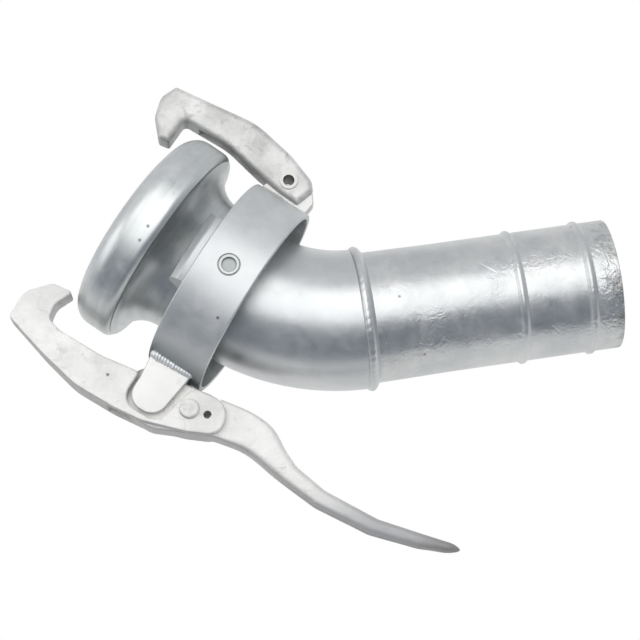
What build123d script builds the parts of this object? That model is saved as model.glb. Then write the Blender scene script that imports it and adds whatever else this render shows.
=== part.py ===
from build123d import *
from math import atan2, cos, hypot, pi, radians, sin, sqrt, tan
import os

# Galvanised hose bend: a flared ball head on a 43 degree bend and a hose tail,
# with a loose closing ring that carries a counter hook and an over-centre lever.
# Working frame: X runs from the mouth along the neck, Y towards the counter hook,
# Z across both hooks. The ring group is built on its own X axis and then seated
# where that axis touches the centre line of the bend. Last, every piece is turned
# to lie as the bend comes to rest, with the origin on the floor below its middle.

# pipe work
pipe_od = 108.0
pipe_wall = 3.6
bend_radius = 142.5
bend_angle = 43.0
bend_start = 95.0
tail_step = 4.2
tail_root_rise = 0.8
tail_wall = 3.2
tail_length = 194.0
tail_socket = 8.0
ridge_height = 1.8
ridge_width = 7.0
ridge_stations = (118.0, 171.0)

# ball head
head_wall = 3.6
mouth_x = 4.5
lip_drop = 13.5
ball_od = 167.0
crown_r = 15.0
flank_x = 39.5
shoulder_r = 6.5
neck_flare = 1.5
neck_fillet_r = 26.0
seam_x = 90.0
seam_height = 1.4
seam_width = 8.0
bead_height = 2.0
bead_width = 6.0

# closing ring
ring_wall = 4.0
pad_height = 17.9
ring_front = 72.0
ring_width = 46.0
ring_tilt = 2.4
ring_datum = 101.0
pad_clearance = 3.6
pad_reach = 11.0
pad_half_width = 26.0
pad_bevel = 6.5
pad_rear_inset = 6.0
guide_rivet_r = 7.4
guide_dimple_r = 5.6
guide_dimple_depth = 2.4
guide_groove = 1.1

# counter hook and its lug
hook_pin_x = 89.5
hook_pin_rise = 14.1
lug_half = 7.5
hook_half = 12.5
hook_back_r = 5.0
side_gap = 0.5
hook_rivet_r = 5.6
hook_bore_r = 4.2
hook_flange_r = 6.8
hook_flange = 1.3

# lever, ears and draw hook
lever_pin_x = 91.5
lever_pin_rise = 24.5
link_offset = (30.3, 5.9)
lock_offset = (13.9, 3.4)
lever_half = 14.0
lever_head_r = 21.5
handle_start = 66.5
plate = 6.5
lever_pin_r = 6.0
lever_pin_cover = 2.0
link_pin_r = 6.0
link_head_r = 7.7
link_head_height = 2.6
lock_hole_r = 3.1
head_half = 12.5
flare_turn = -57.0
flare_run = 32.0
soft_edge = 1.5
crisp_edge = 1.0

# fits
pin_clearance = 0.08
axial_gap = 0.3
seat_gap = 0.3
heel_gap = 24.0
weld_r = 2.8
lug_weld_r = 1.7

# the lie at rest, on the tail end, the ring and the lever's tip
lie_roll = 10.295
lie_pitch = 14.556

pipe_r = pipe_od / 2
tail_r = pipe_r - tail_step
crown = ball_od / 2
ring_r = pipe_r + pad_clearance + pad_height + ring_wall
ring_rear = ring_front + ring_width
ring_mid = ring_front + ring_width / 2
hook_pin = (hook_pin_x, ring_r + hook_pin_rise)
lever_pin = (lever_pin_x, -ring_r - lever_pin_rise)
link_pin = (lever_pin[0] + link_offset[0], lever_pin[1] + link_offset[1])
lock_hole = (link_pin[0] + lock_offset[0], link_pin[1] + lock_offset[1])
outer_half = lever_half + side_gap + plate
ring_drop = pad_clearance - seam_height - seat_gap


def rounded_face(corners):
    """Flat face with straight sides; each corner is (x, y, rounding radius)."""
    count = len(corners)
    stations = []
    for i, (x, y, r) in enumerate(corners):
        if r == 0:
            stations.append(((x, y), None, (x, y)))
            continue
        before = corners[i - 1]
        after = corners[(i + 1) % count]
        ax, ay = before[0] - x, before[1] - y
        bx, by = after[0] - x, after[1] - y
        a_len, b_len = hypot(ax, ay), hypot(bx, by)
        ax, ay, bx, by = ax / a_len, ay / a_len, bx / b_len, by / b_len
        half = atan2(abs(ax * by - ay * bx), ax * bx + ay * by) / 2
        reach = r / tan(half)
        mx, my = ax + bx, ay + by
        m_len = hypot(mx, my)
        depth = r / sin(half) - r
        middle = (x + mx / m_len * depth, y + my / m_len * depth)
        start = (x + ax * reach, y + ay * reach)
        stations.append((start, middle, (x + bx * reach, y + by * reach)))
    edges = []
    for i, (start, middle, end) in enumerate(stations):
        if middle:
            edges.append(ThreePointArc(start, middle, end))
        following = stations[(i + 1) % count][0]
        if hypot(following[0] - end[0], following[1] - end[1]) > 1e-4:
            edges.append(Line(end, following))
    return make_face(edges)


def placed(origin, corners):
    """Corners given from an origin, moved to where that origin is."""
    return [(origin[0] + x, origin[1] + y, r) for x, y, r in corners]


def slab(corners, low, high):
    """Outline in X and Y, thick from low to high in Z."""
    return extrude(Pos(0, 0, low) * rounded_face(corners), amount=high - low, dir=(0, 0, 1))


def plan_slab(corners, low, high):
    """Outline in X and Z, thick from low to high in Y."""
    face = Plane.XZ.location * rounded_face(corners)
    return Pos(0, high, 0) * extrude(face, amount=high - low, dir=(0, -1, 0))


def spun(corners):
    """Outline in X and radius, turned once round the neck axis."""
    return revolve(rounded_face(corners), Axis.X, 360)


def bar_x(radius, start, end):
    """Round bar along the neck axis."""
    return Pos(start, 0, 0) * (Rot(0, 90, 0) * extrude(Circle(radius).face(), amount=end - start))


def bar_z(at, radius, low, high):
    """Round bar across the hooks."""
    return Pos(at[0], at[1], low) * extrude(Circle(radius).face(), amount=high - low)


def softened(body, radius):
    """Round the edges where the flat sides meet the rim."""
    sides = body.faces().filter_by(lambda face: abs(face.normal_at().Z) > 0.8)
    rims = body.faces().filter_by(lambda face: abs(face.normal_at().Z) < 0.5)
    rim_edges = set(rims.edges())
    return fillet([edge for edge in sides.edges() if edge in rim_edges], radius)


def make_ball_head():
    lip = crown - lip_drop
    root = pipe_r + neck_flare
    wall = head_wall
    corners = [
        (mouth_x + 2.5, lip - 2, 1.4),
        (mouth_x, lip, 1.4),
        (mouth_x, crown, crown_r),
        (flank_x, crown, shoulder_r),
        (flank_x + 1, root, neck_fillet_r),
        (seam_x, pipe_r, 0),
        (seam_x, pipe_r - wall, 0),
        (flank_x + 1 - wall, root - wall, neck_fillet_r),
        (flank_x - wall, crown - wall, shoulder_r - wall),
        (mouth_x + wall, crown - wall, crown_r - wall),
    ]
    return spun(corners)


def make_bend_tube():
    straight = bar_x(pipe_r, seam_x, bend_start) - bar_x(pipe_r - pipe_wall, seam_x - 1, bend_start + 1)
    section = Circle(pipe_r) - Circle(pipe_r - pipe_wall)
    disc = Pos(bend_start, 0, 0) * (Rot(0, 90, 0) * section)
    centre = Axis((bend_start, bend_radius, 0), (0, 0, 1))
    curved = revolve(disc, centre, bend_angle)
    return straight + curved


def to_tail(shape):
    """Carry a shape built on the X axis to the end of the bend."""
    turn = radians(bend_angle)
    x = bend_start + bend_radius * sin(turn)
    y = bend_radius * (1 - cos(turn))
    return Pos(x, y, 0) * (Rot(0, 0, bend_angle) * shape)


def to_ring(shape):
    """Seat a shape built on the ring's own axis where its far pad rests on the neck seam."""
    turn = radians(ring_tilt)
    x = bend_start + bend_radius * sin(turn)
    y = bend_radius * (1 - cos(turn))
    return Pos(x, y, ring_drop) * (Rot(0, 0, ring_tilt) * (Pos(-ring_datum, 0, 0) * shape))


def make_hose_tail():
    inner = tail_r - tail_wall
    root = tail_r + tail_root_rise
    corners = [(-tail_socket, tail_r, 0), (0, tail_r, 0), (0.6, root, 0), (60, tail_r, 40)]
    for station in ridge_stations:
        corners.append((station - ridge_width / 2, tail_r, 2.0))
        corners.append((station, tail_r + ridge_height * 1.6, 3.0))
        corners.append((station + ridge_width / 2, tail_r, 2.0))
    corners += [(tail_length, tail_r, 0.6), (tail_length, inner, 0.6), (-tail_socket, inner, 0)]
    return to_tail(spun(corners))


def make_head_weld(head, bend):
    half = seam_width / 2
    left, right = (seam_x - half, pipe_r), (seam_x + half, pipe_r)
    crown = ThreePointArc(left, (seam_x, pipe_r + seam_height), right)
    foot = Polyline(right, (seam_x + half, pipe_r - 0.5), (seam_x - half, pipe_r - 0.5), left)
    return revolve(make_face([crown, foot]), Axis.X, 360) - head - bend


def make_tail_weld(bend, tail):
    corners = [
        (-bead_width / 2, pipe_r - 1, 0),
        (-bead_width / 2, pipe_r + 0.3, 0),
        (0.2, pipe_r + bead_height * 1.5, 3.0),
        (bead_width, tail_r + 0.5, 2.0),
        (bead_width + 1.5, tail_r - 1, 0),
        (0, tail_r - 1, 0),
        (0, pipe_r - 1, 0),
    ]
    return to_tail(spun(corners)) - bend - tail


def make_ring_band():
    corners = [
        (ring_front, ring_r - ring_wall, 0.6),
        (ring_front, ring_r, 1.2),
        (ring_rear, ring_r, 1.2),
        (ring_rear, ring_r - ring_wall, 0.6),
    ]
    band = spun(corners)
    for side in (1, -1):
        low, high = sorted((side * (ring_r - ring_wall - 4), side * (ring_r + 2)))
        band -= bar_z((ring_mid, 0), guide_rivet_r, low, high)
        low, high = sorted((side * (ring_r - guide_groove), side * (ring_r + 2)))
        band -= bar_z((ring_mid, 0), guide_rivet_r + guide_groove, low, high)
    return band


def make_guide_pad(side):
    inner = pipe_r + pad_clearance
    outer = ring_r - ring_wall
    front = ring_front - pad_reach
    corners = [
        (front, inner + 8.5, 1.0),
        (front, outer - 4, 2.0),
        (front + 6, outer, 4.0),
        (ring_rear - pad_rear_inset, outer, 0),
        (ring_rear - pad_rear_inset, inner, 2.0),
        (front + 13, inner, 3.0),
    ]
    pad = spun(corners)
    foot = pad_half_width + pad_bevel
    trapezoid = [
        (-foot, side * (pipe_r - 12), 0),
        (-pad_half_width, side * ring_r, 0),
        (pad_half_width, side * ring_r, 0),
        (foot, side * (pipe_r - 12), 0),
    ]
    face = Plane.YZ.location * rounded_face(trapezoid)
    pad = pad & extrude(face, amount=200, dir=(1, 0, 0))
    low, high = sorted((side * (outer - 9), side * (outer + 9)))
    return pad - bar_z((ring_mid, 0), guide_rivet_r, low, high)


def make_guide_rivet(side):
    foot = ring_r - ring_wall - 9
    low, high = sorted((side * foot, side * (ring_r + 0.3)))
    rivet = bar_z((ring_mid, 0), guide_rivet_r, low, high)
    low, high = sorted((side * (ring_r + 0.3 - guide_dimple_depth), side * (ring_r + 2)))
    return rivet - bar_z((ring_mid, 0), guide_dimple_r, low, high)


def make_hook_lug():
    root = ring_r - 5
    corners = [(ring_front + 1, root, 0), (ring_front + 3, ring_r + 5, 4)]
    corners += placed(hook_pin, [(-6, 7.5, 6)])
    corners += [(ring_rear - 9.5, hook_pin[1] + 4.3, 3), (ring_rear - 3, ring_r + 10, 4), (ring_rear - 5, root, 0)]
    lug = softened(slab(corners, -lug_half, lug_half), crisp_edge) - bar_x(ring_r, 0, ring_rear)
    return lug - bar_z(hook_pin, hook_rivet_r, -lug_half - 1, lug_half + 1)


def make_lug_weld(side, lug):
    y = sqrt(ring_r**2 - lug_half**2)
    bead = Pos(0, y, side * lug_half) * bar_x(lug_weld_r, ring_front + 2, ring_rear - heel_gap)
    return bead - lug - bar_x(ring_r, 0, ring_rear)


def make_hook_rivet():
    reach = hook_half + axial_gap
    rivet = bar_z(hook_pin, hook_rivet_r, -reach, reach)
    for side in (1, -1):
        low, high = sorted((side * reach, side * (reach + hook_flange)))
        rivet += bar_z(hook_pin, hook_flange_r, low, high)
    return rivet - bar_z(hook_pin, hook_bore_r, -reach - 5, reach + 5)


def make_counter_hook():
    at_mouth = (mouth_x, crown)
    corners = placed(at_mouth, [
        (-29.5, 27.8, 1.5),
        (-35.0, 14.5, 12),
        (-30.5, -1.5, 12),
        (-18.5, -15.0, 3),
        (-9.9, -13.5, 2.0),
        (-9.3, 8.3, 4.0),
        (29.5, 9.1, 60),
    ])
    corners += placed(hook_pin, [
        (-23.5, -8.1, 60),
        (-1.5, -11.3, 30),
        (15.3, -12.3, 1.5),
        (20.5, 3.4, 4),
        (14.5, 10.2, 8),
        (-9.5, 19.0, 50),
    ])
    corners += placed(at_mouth, [(39.5, 36.3, 60)])
    body = slab(corners, -hook_half, hook_half)
    flats = body.edges().group_by(Axis.Z)
    long_edges = flats[0] + flats[-1]
    back = long_edges.filter_by(lambda edge: edge.center().Y > crown + 17.5 and edge.center().X > mouth_x - 29)
    body = softened(body, crisp_edge) & fillet(back, hook_back_r)
    hollow = placed(at_mouth, [(3.5, -23.5, 0), (3.5, 20.5, 10), (19.5, 29.5, 16), (41.5, 30.7, 50)])
    hollow += placed(hook_pin, [(-9.5, 13.2, 50), (11.5, 7.7, 3), (40.5, 7.7, 0), (40.5, -33.6, 0)])
    inner = lug_half + side_gap
    body -= slab(hollow, -inner, inner)
    return body - bar_z(hook_pin, hook_rivet_r + pin_clearance, -hook_half - 1, hook_half + 1)


def make_ear(side):
    root = ring_r - 9.5
    corners = [(ring_front + 2, -root, 0)]
    corners += placed(lever_pin, [(-14, 7, 6), (-14, -14, 13), (12.8, -14, 13), (17.5, 20, 2)])
    corners += [(ring_rear - 8.5, -root, 0)]
    inner = lever_half + side_gap
    low, high = sorted((side * inner, side * outer_half))
    ear = softened(slab(corners, low, high), crisp_edge) - bar_x(ring_r, 0, ring_rear)
    low, high = sorted((side * (inner - 1), side * (outer_half - lever_pin_cover)))
    return ear - bar_z(lever_pin, lever_pin_r, low, high)


def make_ear_weld(side, ear):
    y = -sqrt(ring_r**2 - outer_half**2)
    bead = Pos(0, y, side * outer_half) * bar_x(weld_r, ring_front + 2, ring_rear - 7)
    return bead - ear - bar_x(ring_r, 0, ring_rear)


def make_lever_pin():
    reach = outer_half - lever_pin_cover
    return bar_z(lever_pin, lever_pin_r, -reach, reach)


def make_lever_handle():
    """Forged handle: rounded sections from the head to the tip, set out from the lever pin."""
    sections = [
        (handle_start, 12.9, 27.3, lever_half, 2.0),
        (78.5, 15.8, 27.6, lever_half - 0.3, 4.0),
        (92.5, 15.2, 27.4, lever_half - 0.7, 6.0),
        (106.0, 9.8, 21.6, lever_half - 1.2, 7.0),
        (120.5, 5.5, 16.4, lever_half - 1.8, 6.6),
        (148.5, 2.4, 14.6, lever_half - 2.3, 6.2),
        (193.5, 6.0, 13.4, lever_half - 3.0, 5.6),
        (230.5, 16.0, 11.9, lever_half - 4.2, 4.8),
        (250.0, 23.0, 8.4, lever_half - 6.6, 3.4),
        (257.0, 25.6, 4.6, lever_half - 9.6, 1.8),
    ]
    rings = []
    for x, y, height, half, r in sections:
        place = Plane(origin=(lever_pin[0] + x, lever_pin[1] + y, 0), x_dir=(0, 1, 0), z_dir=(1, 0, 0))
        rings.append(place * RectangleRounded(height, 2 * half, r))
    return loft(rings)


def make_lever():
    head = lever_head_r
    corners = placed(lever_pin, [
        (-head, head, head - 0.1),
        (-head, -head, head - 0.1),
        (12.5, -head, 20),
        (56.5, -1.5, 25),
        (78.5, 3.7, 30),
        (98.5, 1.0, 0),
        (98.5, 29.5, 0),
        (78.5, 31.2, 30),
        (38.5, 24.5, 40),
        (20.5, head, 20),
    ])
    body = softened(slab(corners, -lever_half, lever_half), soft_edge)
    body = split(body, Plane.YZ.offset(lever_pin[0] + handle_start), keep=Keep.BOTTOM)
    body += make_lever_handle()
    body -= bar_z(lever_pin, lever_pin_r + pin_clearance, -30, 30)
    body -= bar_z(link_pin, link_pin_r + pin_clearance, -30, 30)
    return body - bar_z(lock_hole, lock_hole_r, -30, 30)


def make_draw_hook():
    at_mouth = (mouth_x, -crown)
    corners = placed(at_mouth, [
        (-37.5, -27.0, 4),
        (-38.5, -4.5, 16),
        (-23.5, 12.7, 9),
        (-6.3, 14.9, 2.0),
        (-13.1, -0.5, 12),
        (-11.0, -12.0, 6),
        (1.5, -15.3, 14),
        (39.5, -15.5, 60),
    ])
    corners += placed(lever_pin, [(-16.5, 9.7, 3), (-16.5, -16.3, 11.5), (16.0, -16.3, 12), (24.5, 21.0, 8)])
    corners += placed(link_pin, [(26.7, 19.8, 15), (28.7, -5.9, 13), (6.2, -16.4, 20)])
    corners += placed(lever_pin, [(4.5, -21.0, 20), (-19.5, -23.8, 40)])
    corners += placed(at_mouth, [(33.5, -45.1, 60), (1.5, -38.0, 40)])
    body = slab(corners, -outer_half, outer_half)
    reach = 400
    flare = [
        (-reach, -head_half, 0),
        (0, -head_half, 3),
        (flare_run, -outer_half, 40),
        (reach, -outer_half, 0),
        (reach, outer_half, 0),
        (flare_run, outer_half, 40),
        (0, head_half, 3),
        (-reach, head_half, 0),
    ]
    crease = Pos(mouth_x - 6.5, -crown - 15.5, 0) * Rot(0, 0, flare_turn)
    body = softened(body & (crease * plan_slab(flare, -reach, reach)), soft_edge)
    inner = lever_half + side_gap
    mouth = lever_pin[0] - 25.5
    far = link_pin[0] + 48
    slot = [(mouth, -inner, 3), (mouth, inner, 3), (far, inner, 0), (far, -inner, 0)]
    body -= plan_slab(slot, lever_pin[1] - 36, lever_pin[1] + 44)
    body -= bar_z(link_pin, link_pin_r, -30, 30)
    return body - bar_z(lock_hole, lock_hole_r, -30, 30)


def make_link_rivet():
    rivet = bar_z(link_pin, link_pin_r, -outer_half, outer_half)
    for side in (1, -1):
        low, high = sorted((side * outer_half, side * (outer_half + link_head_height)))
        head = bar_z(link_pin, link_head_r, low, high)
        rim = head.edges().filter_by(GeomType.CIRCLE).sort_by(Axis.Z)[-1 if side > 0 else 0]
        rivet += fillet(rim, link_head_height - 0.4)
    return rivet


def turned(shape):
    """Turn a piece from the working frame to the way the bend lies at rest."""
    return Rot(0, lie_pitch, 0) * (Rot(lie_roll, 0, 0) * shape)


def foot_of(shapes):
    """Point on the floor under the middle of the whole bend."""
    boxes = [shape.bounding_box() for shape in shapes]
    x = (min(box.min.X for box in boxes) + max(box.max.X for box in boxes)) / 2
    y = (min(box.min.Y for box in boxes) + max(box.max.Y for box in boxes)) / 2
    z = min(box.min.Z for box in boxes)
    return Vector(x, y, z)


head = make_ball_head()
bend = make_bend_tube()
tail = make_hose_tail()
lug = make_hook_lug()
near_ear = make_ear(1)
far_ear = make_ear(-1)

fixed_pieces = {
    "ball_head": head,
    "bend_tube": bend,
    "hose_tail": tail,
    "head_weld": make_head_weld(head, bend),
    "tail_weld": make_tail_weld(bend, tail),
}
ring_pieces = {
    "ring_band": make_ring_band(),
    "guide_pad_near": make_guide_pad(1),
    "guide_pad_far": make_guide_pad(-1),
    "guide_rivet_near": make_guide_rivet(1),
    "guide_rivet_far": make_guide_rivet(-1),
    "hook_lug": lug,
    "lug_weld_near": make_lug_weld(1, lug),
    "lug_weld_far": make_lug_weld(-1, lug),
    "hook_rivet": make_hook_rivet(),
    "counter_hook": make_counter_hook(),
    "ear_near": near_ear,
    "ear_far": far_ear,
    "ear_weld_near": make_ear_weld(1, near_ear),
    "ear_weld_far": make_ear_weld(-1, far_ear),
    "lever_pin": make_lever_pin(),
    "lever": make_lever(),
    "draw_hook": make_draw_hook(),
    "link_rivet": make_link_rivet(),
}

laid = {name: turned(shape) for name, shape in fixed_pieces.items()}
laid.update({name: turned(to_ring(shape)) for name, shape in ring_pieces.items()})
foot = foot_of(laid.values())

os.makedirs("parts", exist_ok=True)
for name, shape in laid.items():
    export_step(Pos(-foot.X, -foot.Y, -foot.Z) * shape, f"parts/{name}.step")
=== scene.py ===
from math import radians

import bmesh
import bpy
import numpy as np
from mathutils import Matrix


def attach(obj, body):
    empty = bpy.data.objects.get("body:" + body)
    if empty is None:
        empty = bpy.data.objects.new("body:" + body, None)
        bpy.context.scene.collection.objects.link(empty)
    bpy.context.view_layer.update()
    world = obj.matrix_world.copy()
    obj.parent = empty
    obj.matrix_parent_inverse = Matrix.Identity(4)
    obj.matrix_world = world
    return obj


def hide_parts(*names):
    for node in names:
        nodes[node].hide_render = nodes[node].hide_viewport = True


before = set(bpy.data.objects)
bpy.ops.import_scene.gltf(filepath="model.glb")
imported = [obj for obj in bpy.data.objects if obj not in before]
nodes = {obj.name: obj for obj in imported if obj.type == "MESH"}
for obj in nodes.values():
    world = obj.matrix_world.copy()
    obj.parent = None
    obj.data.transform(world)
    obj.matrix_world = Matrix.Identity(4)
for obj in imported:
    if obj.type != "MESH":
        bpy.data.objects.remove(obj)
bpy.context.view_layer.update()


# The view from above that the photograph has: a long lens, about 1.6 m from the bend, which
# lies on a white table. The camera looks down at 61 degrees and is rolled a little.
lens_data = bpy.data.cameras.new("view_from_above")
lens_data.sensor_width = 36.0
lens_data.lens = 119.6
camera = bpy.data.objects.new("view_from_above", lens_data)
camera.location = (0.5143, -0.6029, 1.5001)
camera.rotation_euler = [radians(angle) for angle in (28.275, 4.374, 33.375)]
bpy.context.scene.collection.objects.link(camera)
bpy.context.scene.camera = camera
bpy.context.scene.view_settings.view_transform = "Standard"


# The table: a matt white sheet a little under a metre wide. The camera, and polished metal, see it
# as pure white, as they see the backdrop, and on the pieces it throws back the light that falls on it.
def white_table(size, bright):
    """Flat square of the given side, centred below the origin."""
    half = size / 2
    corners = [(-half, -half, 0), (half, -half, 0), (half, half, 0), (-half, half, 0)]
    mesh = bpy.data.meshes.new("table")
    mesh.from_pydata(corners, [], [(0, 1, 2, 3)])
    table = bpy.data.objects.new("table", mesh)
    bpy.context.scene.collection.objects.link(table)
    paper = bpy.data.materials.new("white_paper")
    paper.use_nodes = True
    tree = paper.node_tree
    shader = tree.nodes["Principled BSDF"]
    shader.inputs["Base Color"].default_value = (bright, bright, bright, 1)
    shader.inputs["Roughness"].default_value = 0.9
    shader.inputs["Specular IOR Level"].default_value = 0.1
    path = tree.nodes.new("ShaderNodeLightPath")
    seen = tree.nodes.new("ShaderNodeMath")
    seen.operation = "MAXIMUM"
    through = tree.nodes.new("ShaderNodeMath")
    through.operation = "MAXIMUM"
    white = tree.nodes.new("ShaderNodeEmission")
    mix = tree.nodes.new("ShaderNodeMixShader")
    link = tree.links.new
    link(path.outputs["Is Camera Ray"], seen.inputs[0])
    link(path.outputs["Is Glossy Ray"], seen.inputs[1])
    link(seen.outputs["Value"], through.inputs[0])
    link(path.outputs["Is Transmission Ray"], through.inputs[1])
    link(through.outputs["Value"], mix.inputs["Fac"])
    link(shader.outputs["BSDF"], mix.inputs[1])
    link(white.outputs["Emission"], mix.inputs[2])
    link(mix.outputs["Shader"], tree.nodes["Material Output"].inputs["Surface"])
    mesh.materials.append(paper)


white_table(0.96, 0.9)


# The light: one large soft box overhead, a weaker one low on the left, and a grey room that is
# dark and bluish low on the camera's side, which puts the blue-grey band on the tubes' lower half.
def soft_box(name, place, aim, width, height, watts, colour):
    """Area lamp at place, facing the point aim."""
    lamp = bpy.data.lights.new(name, "AREA")
    lamp.shape = "RECTANGLE"
    lamp.size = width
    lamp.size_y = height
    lamp.energy = watts
    lamp.color = colour
    box = bpy.data.objects.new(name, lamp)
    box.location = place
    away = np.array(place, float) - np.array(aim, float)
    flat = np.hypot(away[0], away[1])
    box.rotation_euler = (np.arctan2(flat, away[2]), 0, np.arctan2(away[0], -away[1]))
    bpy.context.scene.collection.objects.link(box)


soft_box("overhead_box", (0.16, -0.18, 1.85), (0, 0, 0.05), 2.2, 1.9, 21, (1.0, 0.99, 0.97))
soft_box("left_box", (-1.25, -1.0, 0.95), (0, 0, 0.05), 1.2, 1.0, 5, (1.0, 0.995, 0.985))


def grey_room(dark, light, towards, bright):
    """World from light to dark towards a direction; the camera sees the flat value bright."""
    world = bpy.data.worlds.new("grey_room")
    bpy.context.scene.world = world
    world.use_nodes = True
    tree = world.node_tree
    tree.nodes.clear()
    place = tree.nodes.new("ShaderNodeTexCoord")
    facing = tree.nodes.new("ShaderNodeVectorMath")
    facing.operation = "DOT_PRODUCT"
    facing.inputs[1].default_value = towards
    ramp = tree.nodes.new("ShaderNodeMapRange")
    ramp.interpolation_type = "SMOOTHSTEP"
    ramp.inputs["From Min"].default_value = -0.25
    ramp.inputs["From Max"].default_value = 0.75
    tone = tree.nodes.new("ShaderNodeMix")
    tone.data_type = "RGBA"
    tone.inputs["A"].default_value = (*light, 1)
    tone.inputs["B"].default_value = (*dark, 1)
    room = tree.nodes.new("ShaderNodeBackground")
    backdrop = tree.nodes.new("ShaderNodeBackground")
    backdrop.inputs["Color"].default_value = (bright, bright, bright, 1)
    path = tree.nodes.new("ShaderNodeLightPath")
    mix = tree.nodes.new("ShaderNodeMixShader")
    out = tree.nodes.new("ShaderNodeOutputWorld")
    link = tree.links.new
    link(place.outputs["Generated"], facing.inputs[0])
    link(facing.outputs["Value"], ramp.inputs["Value"])
    link(ramp.outputs["Result"], tone.inputs["Factor"])
    link(tone.outputs["Result"], room.inputs["Color"])
    link(path.outputs["Is Camera Ray"], mix.inputs["Fac"])
    link(room.outputs[0], mix.inputs[1])
    link(backdrop.outputs[0], mix.inputs[2])
    link(mix.outputs[0], out.inputs["Surface"])


grey_room((0.20, 0.225, 0.265), (0.72, 0.73, 0.75), (0.66, -0.75, 0.05), 1.0)


# Ball head: pressed steel, dipped in molten zinc as all the pieces were, which leaves a soft grey
# skin with cloudy mottling, small dark pores and fine scratches. Long dull blue-grey streaks run
# round its rear flank; their marks are where the zinc ran off, and their dark blue-grey tone is
# painted reflection of the dark room. The weld seam between ball head and bend has the same skin.
def make_zinc_skin():
    """Clouds, mottling, pores and scratches on object coordinates, in metres.

    The colour is the dark and light tone mixed by two noises, darkened at the pores and
    lightened along the scratches. The height is the mottling plus the pores and scratches."""
    group = bpy.data.node_groups.new("zinc_skin", "ShaderNodeTree")
    sockets = group.interface
    for name, kind in (
        ("Dark", "NodeSocketColor"),
        ("Light", "NodeSocketColor"),
        ("Cloud Scale", "NodeSocketFloat"),
        ("Mottle Scale", "NodeSocketFloat"),
        ("Mottle", "NodeSocketFloat"),
        ("Pore Amount", "NodeSocketFloat"),
        ("Scratch Amount", "NodeSocketFloat"),
        ("Rough Low", "NodeSocketFloat"),
        ("Rough High", "NodeSocketFloat"),
    ):
        sockets.new_socket(name, in_out="INPUT", socket_type=kind)
    for name, kind in (
        ("Color", "NodeSocketColor"),
        ("Roughness", "NodeSocketFloat"),
        ("Height", "NodeSocketFloat"),
    ):
        sockets.new_socket(name, in_out="OUTPUT", socket_type=kind)
    add = group.nodes.new
    link = group.links.new
    given = add("NodeGroupInput")
    result = add("NodeGroupOutput")
    place = add("ShaderNodeTexCoord")

    clouds = add("ShaderNodeTexNoise")
    clouds.inputs["Detail"].default_value = 3.0
    clouds.inputs["Roughness"].default_value = 0.55
    link(place.outputs["Object"], clouds.inputs["Vector"])
    link(given.outputs["Cloud Scale"], clouds.inputs["Scale"])
    mottle = add("ShaderNodeTexNoise")
    mottle.inputs["Detail"].default_value = 5.0
    mottle.inputs["Roughness"].default_value = 0.62
    mottle.inputs["Distortion"].default_value = 0.6
    link(place.outputs["Object"], mottle.inputs["Vector"])
    link(given.outputs["Mottle Scale"], mottle.inputs["Scale"])

    both = add("ShaderNodeMix")
    both.inputs["Factor"].default_value = 0.4
    link(clouds.outputs["Fac"], both.inputs["A"])
    link(mottle.outputs["Fac"], both.inputs["B"])
    spread = add("ShaderNodeMapRange")
    spread.inputs["From Min"].default_value = 0.36
    spread.inputs["From Max"].default_value = 0.64
    link(both.outputs["Result"], spread.inputs["Value"])
    tone = add("ShaderNodeMix")
    tone.data_type = "RGBA"
    link(spread.outputs["Result"], tone.inputs["Factor"])
    link(given.outputs["Dark"], tone.inputs["A"])
    link(given.outputs["Light"], tone.inputs["B"])

    pores = add("ShaderNodeTexVoronoi")
    pores.inputs["Scale"].default_value = 95.0
    link(place.outputs["Object"], pores.inputs["Vector"])
    spot = add("ShaderNodeMapRange")
    spot.inputs["From Min"].default_value = 0.16
    spot.inputs["From Max"].default_value = 0.06
    link(pores.outputs["Distance"], spot.inputs["Value"])
    chosen = add("ShaderNodeSeparateColor")
    link(pores.outputs["Color"], chosen.inputs["Color"])
    rare = add("ShaderNodeMath")
    rare.operation = "LESS_THAN"
    link(chosen.outputs["Red"], rare.inputs[0])
    link(given.outputs["Pore Amount"], rare.inputs[1])
    pore = add("ShaderNodeMath")
    pore.operation = "MULTIPLY"
    link(spot.outputs["Result"], pore.inputs[0])
    link(rare.outputs["Value"], pore.inputs[1])

    stretch = add("ShaderNodeMapping")
    stretch.inputs["Rotation"].default_value = (0.3, 0.2, 0.75)
    stretch.inputs["Scale"].default_value = (18.0, 420.0, 300.0)
    link(place.outputs["Object"], stretch.inputs["Vector"])
    lines = add("ShaderNodeTexNoise")
    lines.inputs["Scale"].default_value = 1.0
    lines.inputs["Detail"].default_value = 2.0
    link(stretch.outputs["Vector"], lines.inputs["Vector"])
    thin = add("ShaderNodeMapRange")
    thin.inputs["From Min"].default_value = 0.70
    thin.inputs["From Max"].default_value = 0.78
    link(lines.outputs["Fac"], thin.inputs["Value"])
    scratch = add("ShaderNodeMath")
    scratch.operation = "MULTIPLY"
    link(thin.outputs["Result"], scratch.inputs[0])
    link(given.outputs["Scratch Amount"], scratch.inputs[1])

    pitted = add("ShaderNodeMix")
    pitted.data_type = "RGBA"
    pitted.inputs["B"].default_value = (0.16, 0.16, 0.155, 1)
    link(pore.outputs["Value"], pitted.inputs["Factor"])
    link(tone.outputs["Result"], pitted.inputs["A"])
    scored = add("ShaderNodeMix")
    scored.data_type = "RGBA"
    scored.inputs["B"].default_value = (0.86, 0.87, 0.87, 1)
    link(scratch.outputs["Value"], scored.inputs["Factor"])
    link(pitted.outputs["Result"], scored.inputs["A"])
    link(scored.outputs["Result"], result.inputs["Color"])

    rough = add("ShaderNodeMapRange")
    link(mottle.outputs["Fac"], rough.inputs["Value"])
    rough.inputs["From Min"].default_value = 0.3
    rough.inputs["From Max"].default_value = 0.7
    link(given.outputs["Rough Low"], rough.inputs["To Min"])
    link(given.outputs["Rough High"], rough.inputs["To Max"])
    link(rough.outputs["Result"], result.inputs["Roughness"])

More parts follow.
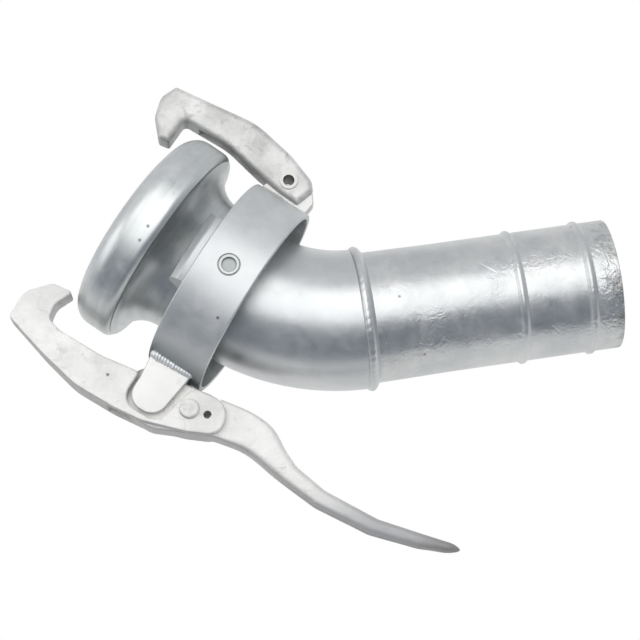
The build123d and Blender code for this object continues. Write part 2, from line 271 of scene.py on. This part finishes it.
    lumps = add("ShaderNodeMath")
    lumps.operation = "MULTIPLY"
    link(mottle.outputs["Fac"], lumps.inputs[0])
    link(given.outputs["Mottle"], lumps.inputs[1])
    dented = add("ShaderNodeMath")
    dented.operation = "SUBTRACT"
    link(lumps.outputs["Value"], dented.inputs[0])
    link(pore.outputs["Value"], dented.inputs[1])
    cut = add("ShaderNodeMath")
    cut.operation = "SUBTRACT"
    link(dented.outputs["Value"], cut.inputs[0])
    link(scratch.outputs["Value"], cut.inputs[1])
    link(cut.outputs["Value"], result.inputs["Height"])
    return group


zinc_skin = make_zinc_skin()


def zinc(name, dark, light, metallic=0.85, cloud=14.0, mottle=90.0, lump=1.0, pores=0.02,
         scratches=0.25, rough=(0.30, 0.44), bump=0.12, depth=0.0004):
    """Galvanised material: the zinc skin on a metal shader, with a shallow bump."""
    material = bpy.data.materials.new(name)
    material.use_nodes = True
    tree = material.node_tree
    shader = tree.nodes["Principled BSDF"]
    shader.inputs["Metallic"].default_value = metallic
    skin = tree.nodes.new("ShaderNodeGroup")
    skin.node_tree = zinc_skin
    skin.inputs["Dark"].default_value = (*dark, 1)
    skin.inputs["Light"].default_value = (*light, 1)
    skin.inputs["Cloud Scale"].default_value = cloud
    skin.inputs["Mottle Scale"].default_value = mottle
    skin.inputs["Mottle"].default_value = lump
    skin.inputs["Pore Amount"].default_value = pores
    skin.inputs["Scratch Amount"].default_value = scratches
    skin.inputs["Rough Low"].default_value = rough[0]
    skin.inputs["Rough High"].default_value = rough[1]
    relief = tree.nodes.new("ShaderNodeBump")
    relief.inputs["Strength"].default_value = bump
    relief.inputs["Distance"].default_value = depth
    link = tree.links.new
    link(skin.outputs["Color"], shader.inputs["Base Color"])
    link(skin.outputs["Roughness"], shader.inputs["Roughness"])
    link(skin.outputs["Height"], relief.inputs["Height"])
    link(relief.outputs["Normal"], shader.inputs["Normal"])
    return material


def dress(names, material):
    """Give the named pieces their material."""
    for name in names:
        slots = nodes[name].data.materials
        slots.clear()
        slots.append(material)


def make_ring_marks():
    """Dull streaks round the X axis of the given coordinates, a turned piece's own axis.

    Noise on distance along the axis, radius and a small share of the angle, so that it changes
    fast across the streak and slowly along it."""
    group = bpy.data.node_groups.new("ring_marks", "ShaderNodeTree")
    group.interface.new_socket("Vector", in_out="INPUT", socket_type="NodeSocketVector")
    group.interface.new_socket("Pitch", in_out="INPUT", socket_type="NodeSocketFloat")
    group.interface.new_socket("Mask", in_out="OUTPUT", socket_type="NodeSocketFloat")
    add = group.nodes.new
    link = group.links.new
    given = add("NodeGroupInput")
    result = add("NodeGroupOutput")
    split = add("ShaderNodeSeparateXYZ")
    link(given.outputs["Vector"], split.inputs[0])
    angle = add("ShaderNodeMath")
    angle.operation = "ARCTAN2"
    link(split.outputs["Z"], angle.inputs[0])
    link(split.outputs["Y"], angle.inputs[1])
    flat = add("ShaderNodeCombineXYZ")
    link(split.outputs["Y"], flat.inputs["X"])
    link(split.outputs["Z"], flat.inputs["Y"])
    radius = add("ShaderNodeVectorMath")
    radius.operation = "LENGTH"
    link(flat.outputs["Vector"], radius.inputs[0])
    along = add("ShaderNodeMath")
    along.operation = "MULTIPLY"
    link(split.outputs["X"], along.inputs[0])
    link(given.outputs["Pitch"], along.inputs[1])
    across = add("ShaderNodeMath")
    across.operation = "MULTIPLY"
    link(radius.outputs["Value"], across.inputs[0])
    link(given.outputs["Pitch"], across.inputs[1])
    place = add("ShaderNodeCombineXYZ")
    link(along.outputs["Value"], place.inputs["X"])
    link(across.outputs["Value"], place.inputs["Y"])
    link(angle.outputs["Value"], place.inputs["Z"])
    noise = add("ShaderNodeTexNoise")
    noise.inputs["Scale"].default_value = 1.0
    noise.inputs["Detail"].default_value = 4.0
    noise.inputs["Roughness"].default_value = 0.6
    link(place.outputs["Vector"], noise.inputs["Vector"])
    spread = add("ShaderNodeMapRange")
    spread.inputs["From Min"].default_value = 0.42
    spread.inputs["From Max"].default_value = 0.68
    link(noise.outputs["Fac"], spread.inputs["Value"])
    link(spread.outputs["Result"], result.inputs["Mask"])
    return group


ring_marks = make_ring_marks()


def own_frame(tree, origin, angles):
    """Object coordinates seen from a frame with this origin and these XYZ angles in degrees."""
    place = tree.nodes.new("ShaderNodeTexCoord")
    turn = tree.nodes.new("ShaderNodeMapping")
    turn.vector_type = "TEXTURE"
    turn.inputs["Location"].default_value = origin
    turn.inputs["Rotation"].default_value = [radians(angle) for angle in angles]
    tree.links.new(place.outputs["Object"], turn.inputs["Vector"])
    return turn.outputs["Vector"]


def tint(material, mask, colour, amount):
    """Mix a colour into the material's base colour by a mask."""
    tree = material.node_tree
    shader = tree.nodes["Principled BSDF"]
    before = shader.inputs["Base Color"].links[0].from_socket
    share = tree.nodes.new("ShaderNodeMath")
    share.operation = "MULTIPLY"
    share.inputs[1].default_value = amount
    tree.links.new(mask, share.inputs[0])
    mix = tree.nodes.new("ShaderNodeMix")
    mix.data_type = "RGBA"
    mix.inputs["B"].default_value = (*colour, 1)
    tree.links.new(share.outputs["Value"], mix.inputs["Factor"])
    tree.links.new(before, mix.inputs["A"])
    tree.links.new(mix.outputs["Result"], shader.inputs["Base Color"])


def streaks(material, origin, angles, pitch, colour, amount):
    """Ring marks tinted into a material, round the frame's X axis."""
    tree = material.node_tree
    marks = tree.nodes.new("ShaderNodeGroup")
    marks.node_tree = ring_marks
    marks.inputs["Pitch"].default_value = pitch
    tree.links.new(own_frame(tree, origin, angles), marks.inputs["Vector"])
    tint(material, marks.outputs["Mask"], colour, amount)


def scuffs(material, scale, low, high, colour, amount):
    """Broken grey scuffs: a rough noise cut between low and high, tinted into the colour."""
    tree = material.node_tree
    place = tree.nodes.new("ShaderNodeTexCoord")
    noise = tree.nodes.new("ShaderNodeTexNoise")
    noise.inputs["Scale"].default_value = scale
    noise.inputs["Detail"].default_value = 8.0
    noise.inputs["Roughness"].default_value = 0.72
    noise.inputs["Distortion"].default_value = 0.8
    tree.links.new(place.outputs["Object"], noise.inputs["Vector"])
    cut = tree.nodes.new("ShaderNodeMapRange")
    cut.inputs["From Min"].default_value = low
    cut.inputs["From Max"].default_value = high
    tree.links.new(noise.outputs["Fac"], cut.inputs["Value"])
    tint(material, cut.outputs["Result"], colour, amount)


neck_origin = (-0.16441, -0.03606, 0.10463)
neck_angles = (10.295, 14.556, 0.0)
ball_zinc = zinc("ball_zinc", (0.50, 0.53, 0.54), (0.66, 0.675, 0.67), pores=0.06, scratches=0.6,
                 rough=(0.32, 0.44))
# Partly painted reflection: the streaks' blue-grey tint stands in for the dark room seen in the metal,
# as well as for zinc runs.
streaks(ball_zinc, neck_origin, neck_angles, 170.0, (0.36, 0.39, 0.395), 0.4)
scuffs(ball_zinc, 70.0, 0.60, 0.72, (0.36, 0.37, 0.35), 0.5)
dress(["ball_head", "head_weld"], ball_zinc)


# Bend: steel tube bent to a long radius and zinc dipped, smooth and satin with faint clouds and a
# few scuffs. It is welded to the neck of the ball head at one end and to the tail at the other.
tube_zinc = zinc("tube_zinc", (0.52, 0.54, 0.55), (0.63, 0.64, 0.64), cloud=20.0, lump=0.8)
scuffs(tube_zinc, 60.0, 0.64, 0.76, (0.40, 0.41, 0.41), 0.4)
dress(["bend_tube"], tube_zinc)


# Hose tail: steel tube with two rolled ridges that hold a hose, zinc dipped, with lumpy runs, many
# scratches and a rough end that is stained grey-brown.
tail_origin = (0.02333, 0.0016, 0.06295)
tail_angles = (17.371, 3.775, 42.259)
tail_zinc = zinc("tail_zinc", (0.51, 0.53, 0.54), (0.66, 0.665, 0.66), cloud=26.0, mottle=75.0,
                 lump=1.6, pores=0.06, scratches=0.9, rough=(0.28, 0.44), bump=0.22, depth=0.0008)
streaks(tail_zinc, tail_origin, tail_angles, 90.0, (0.47, 0.485, 0.48), 0.35)


def stain_end(material):
    """Grey-brown stain that grows over the last 25 mm of the tail, broken up by noise."""
    tree = material.node_tree
    where = own_frame(tree, tail_origin, tail_angles)
    split = tree.nodes.new("ShaderNodeSeparateXYZ")
    tree.links.new(where, split.inputs[0])
    noise = tree.nodes.new("ShaderNodeTexNoise")
    noise.inputs["Scale"].default_value = 60.0
    noise.inputs["Detail"].default_value = 6.0
    noise.inputs["Roughness"].default_value = 0.7
    tree.links.new(where, noise.inputs["Vector"])
    shifted = tree.nodes.new("ShaderNodeMath")
    shifted.operation = "MULTIPLY_ADD"
    shifted.inputs[1].default_value = 0.10
    tree.links.new(noise.outputs["Fac"], shifted.inputs[0])
    tree.links.new(split.outputs["X"], shifted.inputs[2])
    grow = tree.nodes.new("ShaderNodeMapRange")
    grow.inputs["From Min"].default_value = 0.238
    grow.inputs["From Max"].default_value = 0.256
    tree.links.new(shifted.outputs["Value"], grow.inputs["Value"])
    tint(material, grow.outputs["Result"], (0.22, 0.215, 0.20), 0.75)


def zinc_runs(material):
    """Second bump on the tail: fine lumps in patches, and all over the last 20 mm.

    The lumps are a distorted noise, let through by a slower noise and by the distance along
    the tail."""
    tree = material.node_tree
    shader = tree.nodes["Principled BSDF"]
    where = own_frame(tree, tail_origin, tail_angles)
    lumps = tree.nodes.new("ShaderNodeTexNoise")
    lumps.inputs["Scale"].default_value = 150.0
    lumps.inputs["Detail"].default_value = 3.0
    lumps.inputs["Distortion"].default_value = 1.4
    tree.links.new(where, lumps.inputs["Vector"])
    slow = tree.nodes.new("ShaderNodeTexNoise")
    slow.inputs["Scale"].default_value = 17.0
    slow.inputs["Detail"].default_value = 2.0
    tree.links.new(where, slow.inputs["Vector"])
    patch = tree.nodes.new("ShaderNodeMapRange")
    patch.inputs["From Min"].default_value = 0.50
    patch.inputs["From Max"].default_value = 0.64
    tree.links.new(slow.outputs["Fac"], patch.inputs["Value"])
    split = tree.nodes.new("ShaderNodeSeparateXYZ")
    tree.links.new(where, split.inputs[0])
    ending = tree.nodes.new("ShaderNodeMapRange")
    ending.inputs["From Min"].default_value = 0.172
    ending.inputs["From Max"].default_value = 0.182
    ending.inputs["To Max"].default_value = 1.8
    tree.links.new(split.outputs["X"], ending.inputs["Value"])
    through = tree.nodes.new("ShaderNodeMath")
    through.operation = "MAXIMUM"
    tree.links.new(patch.outputs["Result"], through.inputs[0])
    tree.links.new(ending.outputs["Result"], through.inputs[1])
    height = tree.nodes.new("ShaderNodeMath")
    height.operation = "MULTIPLY"
    tree.links.new(lumps.outputs["Fac"], height.inputs[0])
    tree.links.new(through.outputs["Value"], height.inputs[1])
    relief = tree.nodes.new("ShaderNodeBump")
    relief.inputs["Strength"].default_value = 0.55
    relief.inputs["Distance"].default_value = 0.0012
    tree.links.new(height.outputs["Value"], relief.inputs["Height"])
    tree.links.new(shader.inputs["Normal"].links[0].from_socket, relief.inputs["Normal"])
    tree.links.new(relief.outputs["Normal"], shader.inputs["Normal"])


stain_end(tail_zinc)
zinc_runs(tail_zinc)
scuffs(tail_zinc, 90.0, 0.62, 0.72, (0.36, 0.36, 0.34), 0.5)
dress(["hose_tail"], tail_zinc)


# Closing ring: strip steel rolled into a plain band that lies loose round the neck, with two pads
# riveted inside it. The lug for the counter hook and the two ears for the lever are steel plate,
# welded on. All are zinc dipped, the plates paler and rougher than the band.
ring_origin = (-0.16407, -0.04044, 0.10571)
ring_angles = (10.898, 14.115, 2.435)
guide_rivet_at = (0.095, 0.0)
hook_rivet_at = (0.0895, 0.0936)


def circle_tint(material, centre, middle, half, colour, amount):
    """Tint a circle in the ring frame's X and Y: the band of radii middle plus or minus half."""
    tree = material.node_tree
    shift = tree.nodes.new("ShaderNodeVectorMath")
    shift.operation = "SUBTRACT"
    shift.inputs[1].default_value = (centre[0], centre[1], 0)
    tree.links.new(own_frame(tree, ring_origin, ring_angles), shift.inputs[0])
    flat = tree.nodes.new("ShaderNodeVectorMath")
    flat.operation = "MULTIPLY"
    flat.inputs[1].default_value = (1, 1, 0)
    tree.links.new(shift.outputs["Vector"], flat.inputs[0])
    radius = tree.nodes.new("ShaderNodeVectorMath")
    radius.operation = "LENGTH"
    tree.links.new(flat.outputs["Vector"], radius.inputs[0])
    near = tree.nodes.new("ShaderNodeMath")
    near.operation = "COMPARE"
    near.inputs[1].default_value = middle
    near.inputs[2].default_value = half
    tree.links.new(radius.outputs["Value"], near.inputs[0])
    tint(material, near.outputs["Value"], colour, amount)


def fade_tint(material, axis, start, end, colour, amount):
    """Tint that grows along one axis of the ring's frame from start to end."""
    tree = material.node_tree
    split = tree.nodes.new("ShaderNodeSeparateXYZ")
    tree.links.new(own_frame(tree, ring_origin, ring_angles), split.inputs[0])
    grow = tree.nodes.new("ShaderNodeMapRange")
    grow.interpolation_type = "SMOOTHSTEP"
    grow.inputs["From Min"].default_value = start
    grow.inputs["From Max"].default_value = end
    tree.links.new(split.outputs[axis], grow.inputs["Value"])
    tint(material, grow.outputs["Result"], colour, amount)


ring_zinc = zinc("ring_zinc", (0.53, 0.55, 0.56), (0.67, 0.68, 0.68), lump=1.2, pores=0.05,
                 scratches=0.4, rough=(0.42, 0.54))
# Painted shade: a thin dark circle on the band round each guide rivet's flange.
circle_tint(ring_zinc, guide_rivet_at, 0.0080, 0.0007, (0.08, 0.09, 0.09), 0.6)
# Painted shade: the band darkens to blue-grey on its -Y side, from 60 to 80 mm off the axis.
fade_tint(ring_zinc, "Y", -0.060, -0.080, (0.24, 0.27, 0.28), 0.8)
dress(["ring_band"], ring_zinc)
pad_zinc = zinc("pad_zinc", (0.42, 0.44, 0.45), (0.54, 0.55, 0.55), lump=1.2, pores=0.1,
                rough=(0.34, 0.46))
dress(["guide_pad_near", "guide_pad_far"], pad_zinc)
lug_zinc = zinc("lug_zinc", (0.62, 0.615, 0.60), (0.78, 0.775, 0.755), metallic=0.5, lump=1.5,
                rough=(0.4, 0.55))
scuffs(lug_zinc, 85.0, 0.58, 0.70, (0.42, 0.43, 0.42), 0.5)
dress(["hook_lug", "ear_near", "ear_far"], lug_zinc)


# Rivets: hollow rivets hold the guide pads and the counter hook, and a plain pin carries the lever.
# They are zinc dipped with the rest. Painted shade lies round the guide rivets' flanges and in the
# hollows.
rivet_zinc = zinc("rivet_zinc", (0.60, 0.61, 0.60), (0.76, 0.77, 0.77), scratches=0.5)
dress(["lever_pin"], rivet_zinc)
guide_rivet_zinc = zinc("guide_rivet_zinc", (0.42, 0.44, 0.44), (0.55, 0.56, 0.56),
                        rough=(0.38, 0.5))
# Painted shade: a dark line at the guide rivet's flange edge, and a darker hollow.
circle_tint(guide_rivet_zinc, guide_rivet_at, 0.0052, 0.0006, (0.10, 0.105, 0.10), 0.55)
circle_tint(guide_rivet_zinc, guide_rivet_at, 0.0023, 0.0023, (0.30, 0.33, 0.32), 0.8)
dress(["guide_rivet_near", "guide_rivet_far"], guide_rivet_zinc)
hook_rivet_zinc = zinc("hook_rivet_zinc", (0.44, 0.44, 0.42), (0.58, 0.58, 0.56),
                       rough=(0.38, 0.5))
# Painted shade: the hook rivet's hollow is near black.
circle_tint(hook_rivet_zinc, hook_rivet_at, 0.0022, 0.0022, (0.06, 0.05, 0.04), 0.95)
dress(["hook_rivet"], hook_rivet_zinc)


# Counter hook: a channel-shaped casting that turns a little on the hollow rivet through the lug.
# It is matt and pale after dipping, with grey scuffs and small dark pits.
def framed(points, origin, angles):
    """Points of a frame with this origin and these XYZ angles in degrees, in the row frame."""
    a, b, c = [radians(angle) for angle in angles]
    about_x = np.array([[1, 0, 0], [0, np.cos(a), -np.sin(a)], [0, np.sin(a), np.cos(a)]])
    about_y = np.array([[np.cos(b), 0, np.sin(b)], [0, 1, 0], [-np.sin(b), 0, np.cos(b)]])
    about_z = np.array([[np.cos(c), -np.sin(c), 0], [np.sin(c), np.cos(c), 0], [0, 0, 1]])
    return points @ (about_z @ about_y @ about_x).T + np.array(origin)


def painted_facing_shade(material, low, high, colour, amount):
    """Painted shade: a greyer colour on faces that look along the ring's -Y.

    The mask is the surface's own normal against that direction, from low to high."""
    tree = material.node_tree
    place = tree.nodes.new("ShaderNodeTexCoord")
    facing = tree.nodes.new("ShaderNodeVectorMath")
    facing.operation = "DOT_PRODUCT"
    shaded_way = framed(np.array([[0, -1.0, 0]]), (0, 0, 0), ring_angles)[0]
    facing.inputs[1].default_value = shaded_way.tolist()
    tree.links.new(place.outputs["Normal"], facing.inputs[0])
    grow = tree.nodes.new("ShaderNodeMapRange")
    grow.inputs["From Min"].default_value = low
    grow.inputs["From Max"].default_value = high
    tree.links.new(facing.outputs["Value"], grow.inputs["Value"])
    tint(material, grow.outputs["Result"], colour, amount)


hook_zinc = zinc("hook_zinc", (0.50, 0.50, 0.485), (0.78, 0.775, 0.755), metallic=0.4, cloud=34.0,
                 mottle=150.0, lump=2.0, pores=0.10, scratches=0.5, rough=(0.42, 0.58), bump=0.4,
                 depth=0.0007)
scuffs(hook_zinc, 75.0, 0.55, 0.68, (0.34, 0.335, 0.31), 0.65)
# Painted shade: faces of the counter hook that look along the ring's -Y are greyed.
painted_facing_shade(hook_zinc, 0.3, 0.8, (0.26, 0.27, 0.27), 0.6)
dress(["counter_hook"], hook_zinc)


# Draw hook: a forked casting that straddles the lever, joined to it by a plain rivet. Both have a
# pale, matt skin with fine pits, scuffed grey.
cast_zinc = zinc("cast_zinc", (0.70, 0.69, 0.665), (0.90, 0.89, 0.865), metallic=0.15, cloud=30.0,
                 mottle=140.0, lump=2.2, pores=0.06, scratches=0.5, rough=(0.46, 0.62), bump=0.5,
                 depth=0.0006)
scuffs(cast_zinc, 85.0, 0.56, 0.70, (0.44, 0.435, 0.41), 0.6)
# Painted shade: faces of the draw hook and rivet that look along the ring's -Y are greyed.
painted_facing_shade(cast_zinc, 0.3, 0.8, (0.26, 0.255, 0.24), 0.7)
dress(["draw_hook", "link_rivet"], cast_zinc)


# Lever: drop-forged steel, turning on a pin between the ears. The handle swells out of the head,
# thins to a blade with a shallow trough along its lower edge, and ends in a blunt round tip, worn
# to a dark grey-brown.
lever_zinc = zinc("lever_zinc", (0.76, 0.75, 0.725), (0.91, 0.90, 0.88), metallic=0.2, cloud=24.0,
                  mottle=140.0, lump=2.0, pores=0.06, scratches=0.5, rough=(0.42, 0.58), bump=0.5,
                  depth=0.0006)
scuffs(lever_zinc, 90.0, 0.58, 0.70, (0.43, 0.42, 0.40), 0.6)
# Painted shade: faces of the lever that look along the ring's -Y are greyed.
painted_facing_shade(lever_zinc, 0.25, 0.75, (0.26, 0.255, 0.24), 0.7)
fade_tint(lever_zinc, "X", 0.215, 0.290, (0.36, 0.36, 0.37), 0.85)
fade_tint(lever_zinc, "X", 0.300, 0.350, (0.20, 0.18, 0.17), 0.7)
# Painted shadow: the head's end behind the pin, between the ears, fades to near black.
fade_tint(lever_zinc, "X", 0.083, 0.071, (0.07, 0.07, 0.07), 0.9)
lever_pin_at = (91.5, -104.0)
head_end = 66.2


def handle_grid(rows=200, columns=72):
    """Points of the handle, in the ring's frame in metres, from inside the head to the tip.

    Each section is a superellipse: height times cos to the power 2/n, half width times sin to
    the power 2/n. A station holds the distance from the pin, the lower edge, the upper edge, the
    half width, all in mm, and n, and between stations they are averaged over about 8 mm. The
    last 9 mm shrink as a quarter ellipse. The trough lifts the lower edge by up to 3.5 mm times
    a squared parabola across 14 mm, and fades out at both ends."""
    stations = np.array([
        (46.0, -6.35, 25.8, 14.02, 14.0),
        (52.0, -3.7, 26.9, 14.02, 13.0),
        (56.5, -1.8, 27.7, 14.02, 12.0),
        (62.0, -0.6, 28.7, 14.02, 11.0),
        (66.5, 0.3, 29.4, 14.0, 10.0),
        (72.0, 1.4, 30.0, 13.9, 8.0),
        (78.5, 2.1, 30.2, 13.7, 6.0),
        (85.0, 2.2, 30.0, 13.5, 5.0),
        (92.5, 1.3, 28.2, 13.3, 4.4),
        (99.0, 0.3, 24.8, 13.1, 4.0),
        (106.0, -1.0, 20.4, 12.8, 3.7),
        (120.5, -2.7, 13.7, 12.2, 3.4),
        (148.5, -4.9, 9.7, 11.7, 3.2),
        (193.5, -0.7, 12.7, 11.0, 3.0),
        (230.5, 10.0, 22.0, 9.8, 2.8),
        (250.0, 18.8, 27.2, 8.0, 2.5),
        (262.0, 25.0, 29.4, 6.8, 2.3),
    ])
    along, *measures = stations.T
    first, last = along[0], along[-1]
    margin, tip, rounding = 8.0, 258.0, 9.0
    trough_start, trough_end, fade_in, fade_out = 100.0, 246.0, 25.0, 30.0
    trough_depth, trough_half = 3.5, 7.0
    fine = np.linspace(first - margin, last + margin, 1161)
    window = np.hanning(43)
    side = len(window) // 2
    x = first + (tip - first) * (1 - (1 - np.linspace(0, 1, rows)) ** 1.35)
    levels = []
    for values in measures:
        slope = (values[1] - values[0]) / (along[1] - along[0])
        level = np.interp(fine, along, values)
        level = np.where(fine < first, values[0] + (fine - first) * slope, level)
        smooth = np.convolve(level, window / window.sum(), mode="valid")
        levels.append(np.interp(x, fine[side:-side], smooth))
    low, high, wide, n = [level[:, None] for level in levels]
    past = np.clip(x - (tip - rounding), 0, rounding) / (rounding + 0.02)
    shrink = np.sqrt(1 - past ** 2)[:, None]
    turn = np.linspace(0, 2 * np.pi, columns, endpoint=False)[None, :]
    around_y = np.sign(np.cos(turn)) * np.abs(np.cos(turn)) ** (2 / n)
    around_z = np.sign(np.sin(turn)) * np.abs(np.sin(turn)) ** (2 / n)
    z = wide * shrink * around_z
    y = (low + high) / 2 + (high - low) / 2 * shrink * around_y
    reach = np.clip((x - trough_start) / fade_in, 0, 1) * np.clip((trough_end - x) / fade_out, 0, 1)
    across = np.clip(1 - (z / trough_half) ** 2, 0, 1) ** 2
    y = y + trough_depth * reach[:, None] * across * (around_y < 0)
    pin_x, pin_y = lever_pin_at
    return np.stack([x[:, None] + pin_x + 0 * z, y + pin_y, z], axis=2) / 1000


def grid_faces(rows, columns, first, wrap=False):
    """Quads between the rows of a grid whose columns close on themselves, numbered from first.

    With wrap the rows close too; without it each end is a flat cap."""
    index = np.arange(rows * columns).reshape(rows, columns) + first
    beside = np.roll(index, -1, axis=1)
    below = np.roll(index, -1, axis=0)
    across = np.roll(beside, -1, axis=0)
    count = rows if wrap else rows - 1
    quads = np.stack([index, beside, across, below], axis=2)[:count].reshape(-1, 4)
    faces = [tuple(quad) for quad in quads.tolist()]
    if not wrap:
        faces.append(tuple(index[0, ::-1].tolist()))
        faces.append(tuple(index[-1].tolist()))
    return faces


def forged_lever():
    """The lever's head, merged and cut off where the handle starts, joined to the handle."""
    head = bmesh.new()
    head.from_mesh(nodes["lever"].data)
    bmesh.ops.remove_doubles(head, verts=head.verts, dist=1e-6)
    along = framed(np.array([[1.0, 0, 0]]), (0, 0, 0), ring_angles)[0]
    limit = along @ np.array(ring_origin) + (lever_pin_at[0] + head_end) / 1000
    beyond = [vert for vert in head.verts if np.dot(along, vert.co) > limit]
    bmesh.ops.delete(head, geom=beyond, context="VERTS")
    head.verts.index_update()
    points = [tuple(vert.co) for vert in head.verts]
    faces = [tuple(vert.index for vert in face.verts) for face in head.faces]
    head.free()
    grid = framed(handle_grid(), ring_origin, ring_angles)
    faces += grid_faces(grid.shape[0], grid.shape[1], len(points))
    points += grid.reshape(-1, 3).tolist()
    mesh = bpy.data.meshes.new("forged_lever")
    mesh.from_pydata(points, [], faces)
    mesh.polygons.foreach_set("use_smooth", [True] * len(faces))
    mesh.set_sharp_from_angle(angle=radians(32))
    mesh.materials.append(lever_zinc)
    lever = bpy.data.objects.new("forged_lever", mesh)
    bpy.context.scene.collection.objects.link(lever)
    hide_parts("lever")
    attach(lever, "lever")


forged_lever()


# Welds: the ears and the lug are welded to the band, and the tail to the bend, with hand-laid
# beads whose overlapping drops froze as ripples. Those on the band are brighter than its steel.
weld_zinc = zinc("weld_zinc", (0.60, 0.61, 0.61), (0.80, 0.81, 0.81), metallic=0.6, mottle=260.0,
                 lump=2.5, pores=0.12, scratches=0.0, rough=(0.34, 0.5), bump=0.5)


def grid_piece(name, grid, wrap, material, body, stands_for):
    """Smooth mesh from a grid of points (rows, columns, 3), in place of a plain weld."""
    faces = grid_faces(grid.shape[0], grid.shape[1], 0, wrap)
    mesh = bpy.data.meshes.new(name)
    mesh.from_pydata(grid.reshape(-1, 3).tolist(), [], faces)
    mesh.polygons.foreach_set("use_smooth", [True] * len(faces))
    mesh.materials.append(material)
    piece = bpy.data.objects.new(name, mesh)
    bpy.context.scene.collection.objects.link(piece)
    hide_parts(stands_for)
    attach(piece, body)


def laid_bead(name, start, end, centre, radius, fat, seed, stands_for):
    """Straight bead along the ring's X: a round bar whose radius follows the frozen drops and
    runs from fat times its size at the front to its own size at the rear.

    Each drop is a half sine in length, bent back in a curve across the bead, with a little
    random height, and both ends taper as a quarter ellipse."""
    rows, columns = 120, 28
    drop = 0.0024
    along = np.linspace(0, 1, rows)[:, None]
    turn = np.linspace(0, 2 * np.pi, columns, endpoint=False)[None, :]
    length = end - start
    drops = along * length / drop + 0.35 * np.cos(turn)
    dice = np.random.default_rng(seed)
    height = dice.uniform(-0.06, 0.06, int(length / drop) + 3)
    which = np.clip(drops.astype(int), 0, len(height) - 1)
    swell = 0.90 + 0.12 * np.abs(np.sin(np.pi * drops)) + height[which]
    taper = np.sqrt(np.clip(1 - np.abs(2 * along - 1) ** 10, 0.02, 1))
    reach = radius * swell * taper * (fat + (1 - fat) * along)
    grid = np.stack(np.broadcast_arrays(
        start + along * length,
        centre[0] + reach * np.cos(turn),
        centre[1] + reach * np.sin(turn),
    ), axis=2)
    placed = framed(grid, ring_origin, ring_angles)
    grid_piece(name, placed, False, weld_zinc, "closing_ring", stands_for)


bead_ring = 0.0795
bead_front, ear_rear, lug_rear = 0.074, 0.111, 0.094
ear_z = 0.021
ear_y = -np.sqrt(bead_ring**2 - ear_z**2)
laid_bead("ear_bead_near", bead_front, ear_rear, (ear_y, ear_z), 0.0026, 1.75, 3, "ear_weld_near")
laid_bead("ear_bead_far", bead_front, ear_rear, (ear_y, -ear_z), 0.0026, 1.75, 4, "ear_weld_far")
lug_z = 0.0075
lug_y = np.sqrt(bead_ring**2 - lug_z**2)
laid_bead("lug_bead_near", bead_front, lug_rear, (lug_y, lug_z), 0.0017, 1.0, 5, "lug_weld_near")
laid_bead("lug_bead_far", bead_front, lug_rear, (lug_y, -lug_z), 0.0017, 1.0, 6, "lug_weld_far")


def round_bead(name, profile, origin, angles, drop, rise, seed, material, stands_for):
    """Bead round a pipe: a closed profile of (along, radius), turned, with ripples on its crown.

    The ripples are a half sine per drop round the pipe, stronger at the larger radii, and a slow
    random wave shifts the bead along the pipe as an unsteady hand does."""
    spin = np.linspace(0, 2 * np.pi, 720, endpoint=False)[:, None]
    along = np.array([point[0] for point in profile])[None, :]
    radius = np.array([point[1] for point in profile])[None, :]
    foot, top = radius.min(), radius.max()
    crown = ((radius - foot) / (top - foot)) ** 2
    drops = spin * top / drop + 0.5 * (along - along.mean()) / drop
    dice = np.random.default_rng(seed)
    slow = sum(dice.uniform(-1, 1) * np.cos(k * spin + dice.uniform(0, 6.28)) for k in range(2, 7))
    lift = rise * crown * (np.abs(np.sin(np.pi * drops)) - 0.7 + 0.25 * slow)
    grid = np.stack(np.broadcast_arrays(
        along + 0.0003 * slow * crown,
        (radius + lift) * np.cos(spin),
        (radius + lift) * np.sin(spin),
    ), axis=2)
    grid_piece(name, framed(grid, origin, angles), True, material, "fitting", stands_for)


bead_profile = [
    (0.0, 0.0520), (0.0020, 0.0488), (0.0076, 0.0488), (0.0071, 0.0497), (0.0060, 0.0507),
    (0.0048, 0.0525), (0.0034, 0.0545), (0.0020, 0.0557), (0.0006, 0.0561), (-0.0008, 0.0559),
    (-0.0021, 0.0552), (-0.003, 0.0543), (-0.003, 0.0532),
]
round_bead("tail_bead", bead_profile, tail_origin, tail_angles, 0.0062, 0.00022, 8, tube_zinc,
           "tail_weld")
